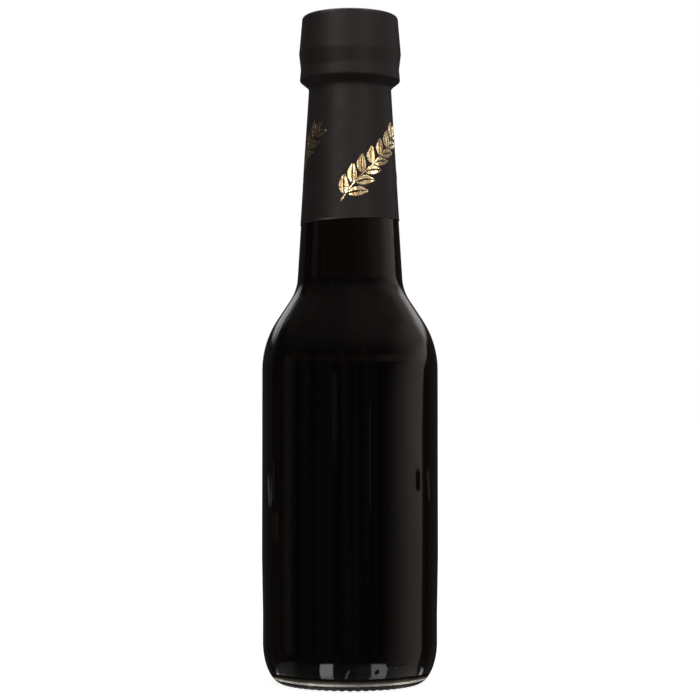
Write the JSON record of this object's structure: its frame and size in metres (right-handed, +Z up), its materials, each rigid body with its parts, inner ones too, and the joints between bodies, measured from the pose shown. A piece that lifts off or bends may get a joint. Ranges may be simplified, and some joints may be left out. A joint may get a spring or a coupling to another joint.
{
  "type": "balsamic vinegar bottle",
  "caption": "Round clear glass bottle of dark balsamic vinegar, its screw cap and upper neck sealed in a matt black shrink-film capsule.",
  "frame": {"origin": "centre of the base, on the plane that the bottle stands on", "axes": "+Z up along the bottle's axis; +X and -Y are only told apart by the capsule's slanting lower edge, which is highest at +X"},
  "size_m": [0.0562, 0.0562, 0.2137],
  "materials": {
    "glass": "clear, fire-polished, with a very slight olive tint",
    "vinegar": "stands in for a liquid so dark that it looks black in the bottle",
    "cap": "satin black, hidden under the film",
    "film": "matt black shrink film with a soft sheen",
    "foil_print": "hot-stamped gold foil ornament on the film"
  },
  "bodies": {
    "root": {"glass_bottle": "glass", "vinegar": "vinegar", "screw_cap": "cap", "film_capsule": "film"}
  },
  "joints": []
}
